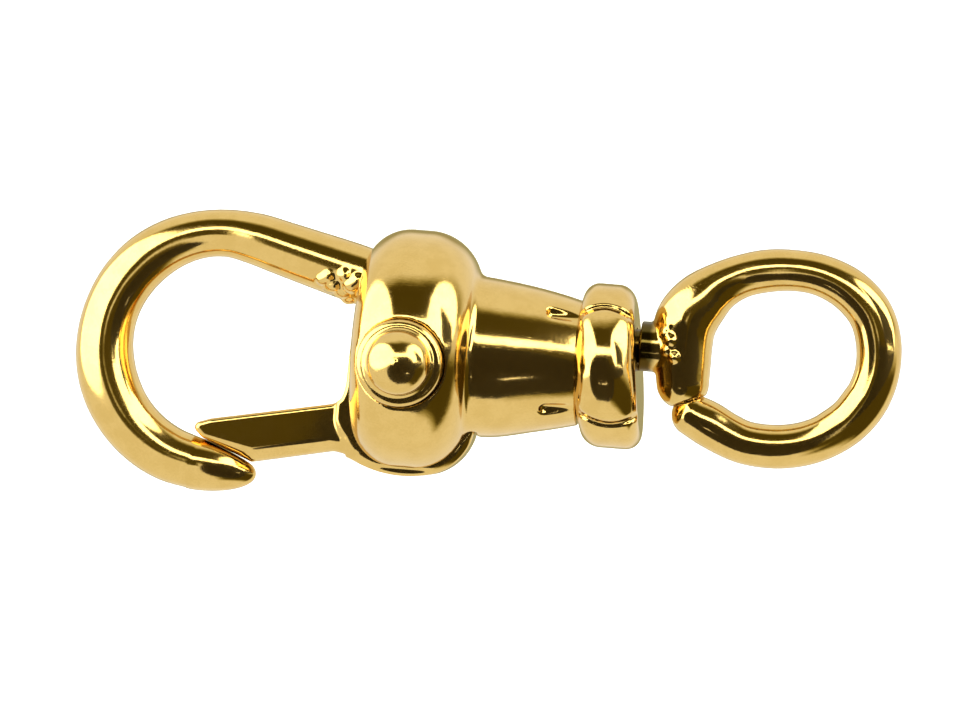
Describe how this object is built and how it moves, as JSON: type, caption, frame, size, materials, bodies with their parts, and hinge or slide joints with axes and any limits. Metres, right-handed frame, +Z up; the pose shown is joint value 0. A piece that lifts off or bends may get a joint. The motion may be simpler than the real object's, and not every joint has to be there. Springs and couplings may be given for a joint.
{
  "type": "watch chain swivel clasp",
  "caption": "Small gold-finished swivel clasp: a hook with a sprung gate, a round pivoted barrel, a tapered neck with a lobed collar and a turning chain eye.",
  "frame": {"origin": "on the swivel axis, level with the middle of the chain eye", "axes": "+Z up the swivel axis from the hook to the chain eye, +X towards the side that the gate closes, Y across the hook plane, the front button on -Y"},
  "size_m": [0.0104, 0.0116, 0.0299],
  "materials": {
    "gold_plate": "polished gold plate over brass",
    "bare_brass": "turned, unplated",
    "pin_steel": "drawn pin stock",
    "spring_steel": "oiled spring wire"
  },
  "bodies": {
    "eye": {"swivel_eye": "gold_plate", "shank_washer": "bare_brass"},
    "clasp": {"knuckle_body": "gold_plate", "hook_arm": "gold_plate", "collar_ferrule": "gold_plate", "pivot_pin": "pin_steel", "front_boss_ring": "gold_plate", "rear_boss_ring": "gold_plate", "front_button_cap": "gold_plate", "rear_button_cap": "gold_plate", "spring_seat": "bare_brass", "gate_spring": "spring_steel"},
    "gate": {"gate_tongue": "gold_plate"}
  },
  "joints": [
    {"name": "swivel", "type": "hinge", "parent": "eye", "child": "clasp", "pos_m": [0, 0, -0.00544], "axis": [0, 0, 1], "continuous": true},
    {"name": "gate_hinge", "type": "hinge", "parent": "clasp", "child": "gate", "pos_m": [0.00131, 0, -0.01364], "axis": [0, 1, 0], "range_deg": [0, 30], "stiffness_Nm_per_rad": 0.008, "springref_deg": -57.3, "deforming": ["gate_spring"]}
  ]
}
